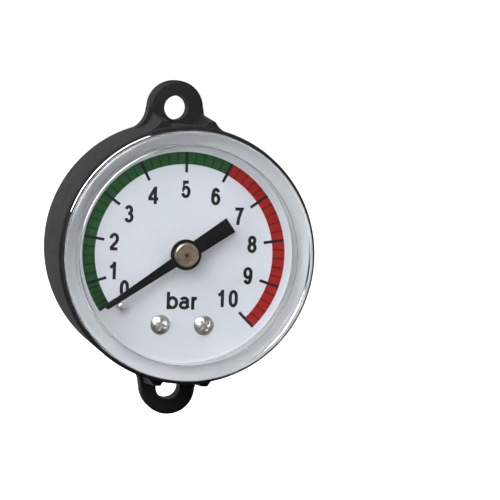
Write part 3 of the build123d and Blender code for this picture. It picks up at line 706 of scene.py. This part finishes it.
def cross_recess(turn, front, towards, head, bevel):
    """The dent of a cross recess, turned by an angle, in a pan head whose top is at front."""
    def dent(x, z, y):
        if abs(y - front) > HEAD_OPEN * head.height:
            return y
        spun = Vector((x, z))
        spun.rotate(Matrix.Rotation(radians(turn), 2))
        inside = 0.0
        for along, across in (spun, (spun.y, spun.x)):
            end = min(1.0, max(0.0, (head.recess_reach - abs(along)) / (2 * bevel)))
            flank = min(1.0, max(0.0, (head.recess_half_width - abs(across)) / bevel))
            inside = max(inside, end * flank)
        return y - towards * head.recess_depth * inside
    return dent


def make_screws(name, node, finish, towards, shares, turns):
    """A node's pan-head screws, turned finely: towards -1 has the heads at the low y.

    shares is the head's PanHead, and turns are the angles at which the crosses stopped.
    """
    low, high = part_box(node)
    head_r = (high.z - low.z) / 2 / MM
    head = PanHead(*[share * head_r for share in shares])
    bevel = HEAD_BEVEL * head_r
    front, tip = (low.y / MM, high.y / MM) if towards < 0 else (high.y / MM, low.y / MM)
    seat = front - towards * head.height
    steps = 30
    profile = []
    for i in range(steps + 1):
        share = i / steps
        drop = HEAD_CROWN * head.height * share ** CROWN_POWER
        profile.append((head_r * share, front - towards * drop))
    profile += [(head_r, seat + towards * HEAD_LIP * head.height), (head_r - bevel, seat),
                (head.shank, seat), (head.shank, tip + towards * bevel),
                (head.shank - bevel, tip), (0, tip)]
    vertices, faces = [], []
    for side, turn in zip((-1, 1), turns):
        centre = (side * (high.x / MM - head_r), (low.z + high.z) / 2 / MM)
        dent = cross_recess(turn, front, towards, head, bevel)
        points, loops = turned(profile, 96, centre, dent, len(vertices))
        vertices += points
        faces += loops if towards < 0 else [tuple(reversed(loop)) for loop in loops]
    screws = add_mesh(name, vertices, faces, HOUSING, 50)
    paint(screws, finish)
    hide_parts(node)


# ---- Scene -----------------------------------------------------------------------------

def make_floor():
    """A pale floor below the gauge, clear from underneath."""
    half, z = FLOOR_HALF_WIDTH, FLOOR_Z
    mesh = bpy.data.meshes.new("floor")
    mesh.from_pydata([(-half, -half, z), (half, -half, z), (half, half, z), (-half, half, z)], [],
                     [(0, 1, 2, 3)])
    floor = bpy.data.objects.new("floor", mesh)
    bpy.context.scene.collection.objects.link(floor)
    f = Finish("pale_floor")
    f.colour(f.noise(8, 2), (0.93, 0.93, 0.93), (0.96, 0.96, 0.96))
    f.set(Roughness=0.8, Emission_Color=(1, 1, 1, 1), Emission_Strength=1.0)
    below = f.add("ShaderNodeNewGeometry")
    clear = f.add("ShaderNodeBsdfTransparent")
    one_sided = f.add("ShaderNodeMixShader")
    f.link(below.outputs["Backfacing"], one_sided.inputs[0])
    f.link(f.shader.outputs[0], one_sided.inputs[1])
    f.link(clear.outputs[0], one_sided.inputs[2])
    f.link(one_sided.outputs[0], f.tree.nodes["Material Output"].inputs["Surface"])
    mesh.materials.append(f.material)
    floor.visible_diffuse = floor.visible_glossy = floor.visible_transmission = False


def make_world():
    """A surround that is white to the camera and lights the gauge more from behind and above."""
    world = bpy.data.worlds.new("studio")
    bpy.context.scene.world = world
    world.use_nodes = True
    w = NodeTree(world.node_tree)
    direction = w.add("ShaderNodeTexCoord")
    depth = w.add("ShaderNodeVectorMath", operation="DOT_PRODUCT")
    depth.inputs[1].default_value = WORLD_DIRECTION
    w.link(direction.outputs["Generated"], depth.inputs[0])
    behind = w.add("ShaderNodeMapRange")
    behind.inputs["From Min"].default_value, behind.inputs["From Max"].default_value = WORLD_GRADE
    behind.inputs["To Min"].default_value = WORLD_FRONT
    behind.inputs["To Max"].default_value = WORLD_BEHIND
    w.link(depth.outputs["Value"], behind.inputs["Value"])
    light = w.tree.nodes["Background"]
    light.inputs["Color"].default_value = (1, 1, 1, 1)
    w.link(behind.outputs["Result"], light.inputs["Strength"])
    seen = w.add("ShaderNodeBackground")
    seen.inputs["Color"].default_value = (1, 1, 1, 1)
    seen.inputs["Strength"].default_value = WORLD_SEEN
    path = w.add("ShaderNodeLightPath")
    mix = w.add("ShaderNodeMixShader")
    w.link(path.outputs["Is Camera Ray"], mix.inputs["Fac"])
    w.link(light.outputs[0], mix.inputs[1])
    w.link(seen.outputs[0], mix.inputs[2])
    w.link(mix.outputs[0], w.tree.nodes["World Output"].inputs["Surface"])


def make_lights():
    for name, (place, size, power) in SOFTBOXES.items():
        light = bpy.data.lights.new(name, "AREA")
        light.shape = "RECTANGLE"
        light.size, light.size_y = size
        light.energy = power
        lamp = bpy.data.objects.new(name, light)
        bpy.context.scene.collection.objects.link(lamp)
        lamp.location = place
        lamp.rotation_euler = (LIGHT_TARGET - Vector(place)).to_track_quat("-Z", "Y").to_euler()


def make_camera():
    """At the photograph's viewing angle: a little to the left of the dial's axis and above it."""
    camera = bpy.data.cameras.new("camera")
    camera.sensor_width = CAMERA_SENSOR
    camera.lens = CAMERA_LENS
    camera.clip_start, camera.clip_end = 0.01, 50
    holder = bpy.data.objects.new("camera", camera)
    bpy.context.scene.collection.objects.link(holder)
    bpy.context.scene.camera = holder
    left, above = radians(CAMERA_LEFT), radians(CAMERA_ABOVE)
    back = Vector((-sin(left) * cos(above), -cos(left) * cos(above), sin(above)))
    right = Vector((cos(left), -sin(left), 0))
    aim = CAMERA_AIM * MM
    holder.location = aim + back * CAMERA_DISTANCE * MM
    middle = aim + right * PICTURE_RIGHT * MM + Vector((0, 0, PICTURE_UP)) * MM
    look = (middle - holder.location).to_track_quat("-Z", "Y").to_matrix()
    holder.rotation_euler = (look @ Matrix.Rotation(radians(CAMERA_ROLL), 3, "Z")).to_euler()


finish_nodes()
make_dial_print()
make_lens()
make_tube()
make_ring()
make_screws("dial_screw_heads", "dial_screws", "bright", -1, DIAL_SCREW_HEAD, (24, 52))
make_screws("case_screw_heads", "case_screws", "zinc", 1, CASE_SCREW_HEAD, (12, -31))
make_floor()
make_world()
make_lights()
make_camera()
bpy.context.scene.view_settings.view_transform = "Standard"
